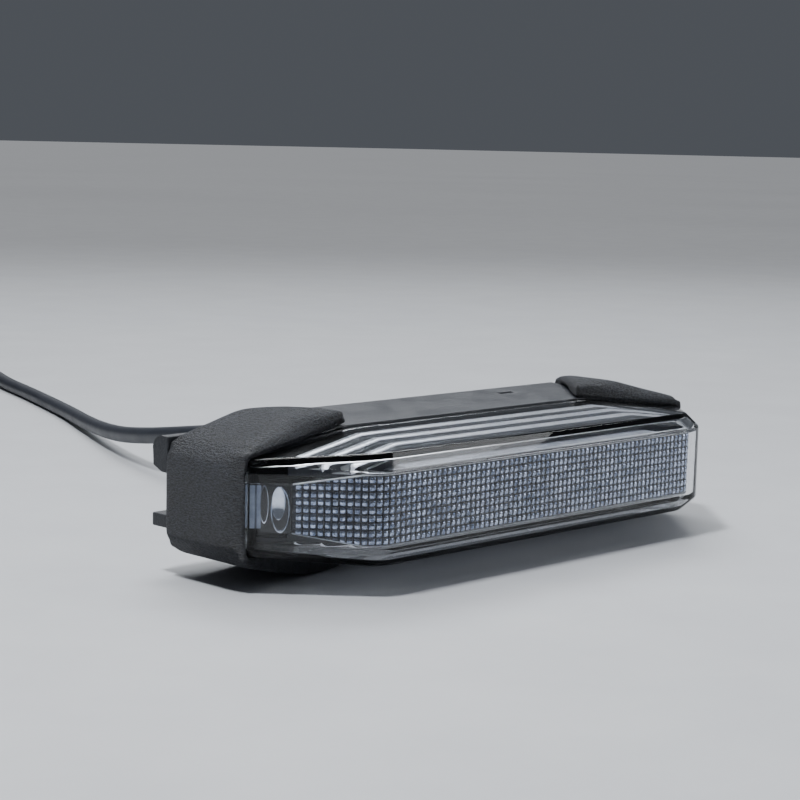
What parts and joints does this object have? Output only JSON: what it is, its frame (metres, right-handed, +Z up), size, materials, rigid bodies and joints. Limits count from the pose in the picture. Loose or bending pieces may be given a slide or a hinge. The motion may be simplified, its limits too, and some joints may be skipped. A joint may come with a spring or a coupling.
{
  "type": "bicycle safety light",
  "caption": "Wide bar-shaped bicycle safety light with a faceted clear lens, a pillow grid optic, raised mounting ears and a moulded-in cable with a round connector, shown with its spare cable coiled.",
  "frame": {"origin": "Bottom centre of the light itself, without its cord: midway between its ends, midway from lens to bracket tab, on the plane that its ears stand on.", "axes": "+X along the bar to the right seen from the front, +Y from the lens to the bracket at the back, +Z up. The lens faces -Y."},
  "size_m": [0.1571, 0.4148, 0.034],
  "materials": {
    "clear_lens": "polished clear polycarbonate",
    "clear_optic": "clear acrylic with moulded optics",
    "dark_housing": "charcoal plastic with a fine grain",
    "soft_seal": "black elastomer",
    "brass_insert": "turned brass",
    "plated_screw": "zinc plated steel",
    "vent_membrane": "pale grey membrane",
    "white_reflector": "white moulding",
    "bright_reflector": "vacuum metallised plastic",
    "white_board": "white solder mask",
    "green_board": "green solder mask",
    "lamp_chip": "lamp package with a clear dome",
    "grey_pad": "soft grey heat pad",
    "bare_aluminium": "folded sheet",
    "ferrite": "dark moulded component",
    "lead_sleeve": "insulated lead",
    "cord_sheath": "dark slate cable sheath",
    "plug_moulding": "moulded connector body",
    "tie_strap": "woven strap"
  },
  "bodies": {
    "root": {"outer_lens": "clear_lens", "lens_gasket": "soft_seal", "rear_case": "dark_housing", "end_cap_left": "dark_housing", "end_cap_right": "dark_housing", "rear_bracket": "dark_housing", "mount_inserts": "brass_insert", "bracket_screws": "plated_screw", "cap_screws": "plated_screw", "cable_gland": "soft_seal", "strain_relief": "soft_seal", "vent_plug": "vent_membrane", "grid_optic": "clear_optic", "light_guide_upper": "clear_optic", "light_guide_lower": "clear_optic", "reflector": "white_reflector", "side_reflector_left": "bright_reflector", "side_reflector_right": "bright_reflector", "lamp_board": "white_board", "lamp_chips": "lamp_chip", "thermal_pad": "grey_pad", "heat_spreader": "bare_aluminium", "board_screws": "plated_screw", "driver_board": "green_board", "driver_screws": "plated_screw", "driver_inductor": "ferrite", "driver_capacitors": "bare_aluminium", "driver_chips": "ferrite", "lead_terminal": "white_board", "inner_leads": "lead_sleeve", "cord": "cord_sheath", "cord_coil": "cord_sheath", "connector": "plug_moulding", "connector_pins": "brass_insert", "cord_tie": "tie_strap"}
  },
  "joints": []
}
